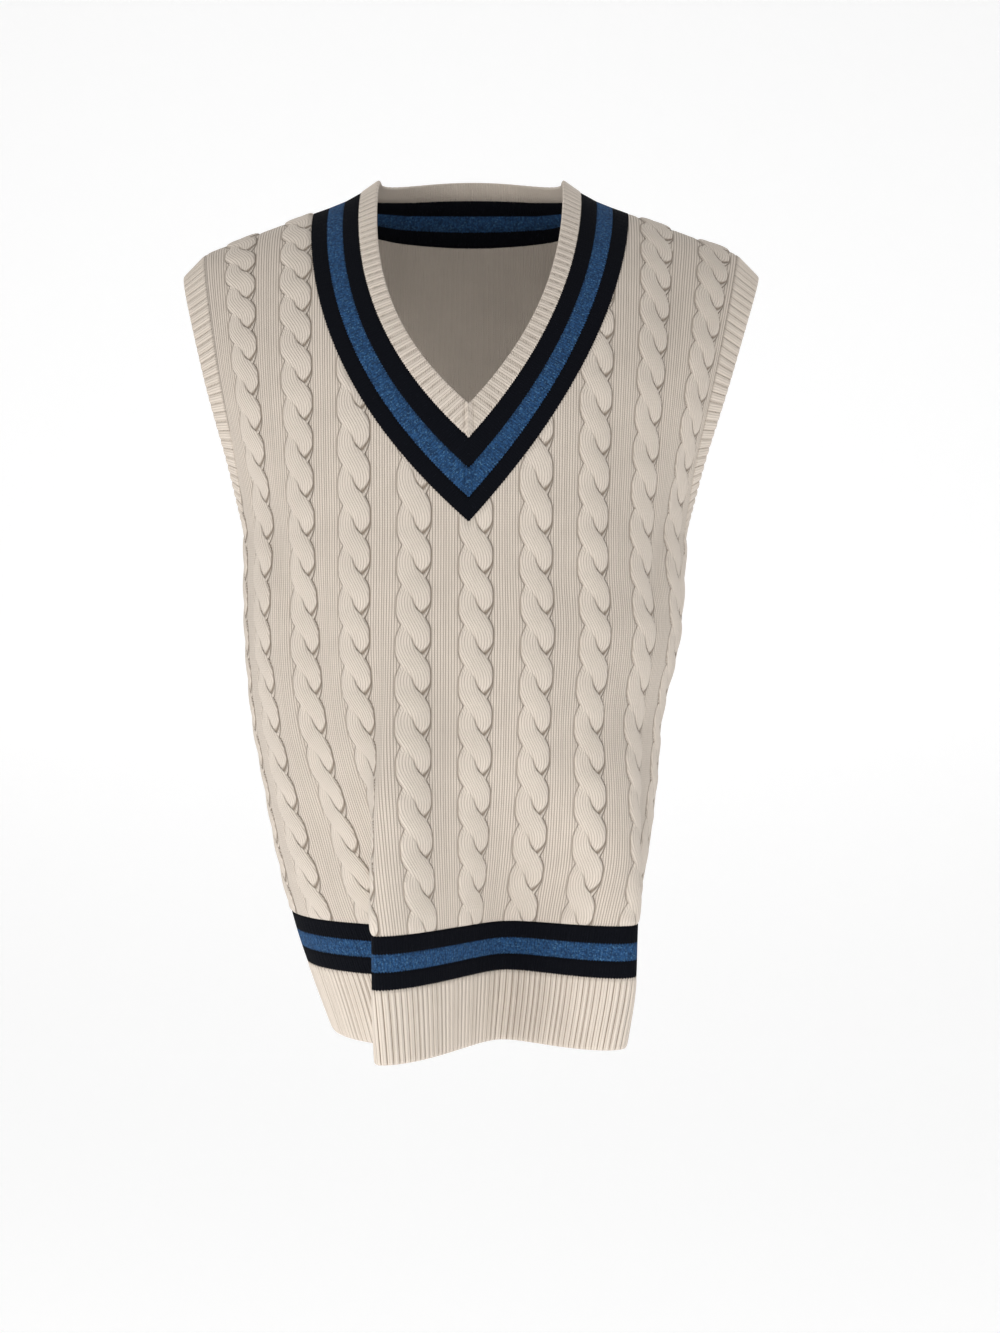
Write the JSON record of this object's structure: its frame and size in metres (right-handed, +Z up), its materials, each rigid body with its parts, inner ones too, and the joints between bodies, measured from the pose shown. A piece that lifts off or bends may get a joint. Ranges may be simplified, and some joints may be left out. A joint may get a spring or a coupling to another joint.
{
  "type": "knitted sweater vest",
  "caption": "Sleeveless cable-knit V-neck sweater vest in its worn, hollow form, with ribbed edges and striped trim at neck and hem.",
  "frame": {"origin": "midway between the two shoulder seams, at the middle of their height, where the shoulders carry the vest", "axes": "+Z up; the front of the vest faces -Y; +X is on the right as the front is seen"},
  "size_m": [0.48, 0.324, 0.7168],
  "materials": {
    "cream_knit": "matt cotton knit, cables and ribs",
    "black_stripe": "matt black knit",
    "blue_stripe": "matt blue knit with lighter and darker flecks"
  },
  "bodies": {
    "root": {"front_body": "cream_knit", "front_stripe_upper_black": "black_stripe", "front_stripe_blue": "blue_stripe", "front_stripe_lower_black": "black_stripe", "front_hem_rib": "cream_knit", "back_body": "cream_knit", "back_stripe_upper_black": "black_stripe", "back_stripe_blue": "blue_stripe", "back_stripe_lower_black": "black_stripe", "back_hem_rib": "cream_knit", "neck_outer_black": "black_stripe", "neck_blue": "blue_stripe", "neck_inner_black": "black_stripe", "neck_rib": "cream_knit", "armhole_rib_left": "cream_knit", "armhole_rib_right": "cream_knit"}
  },
  "joints": []
}
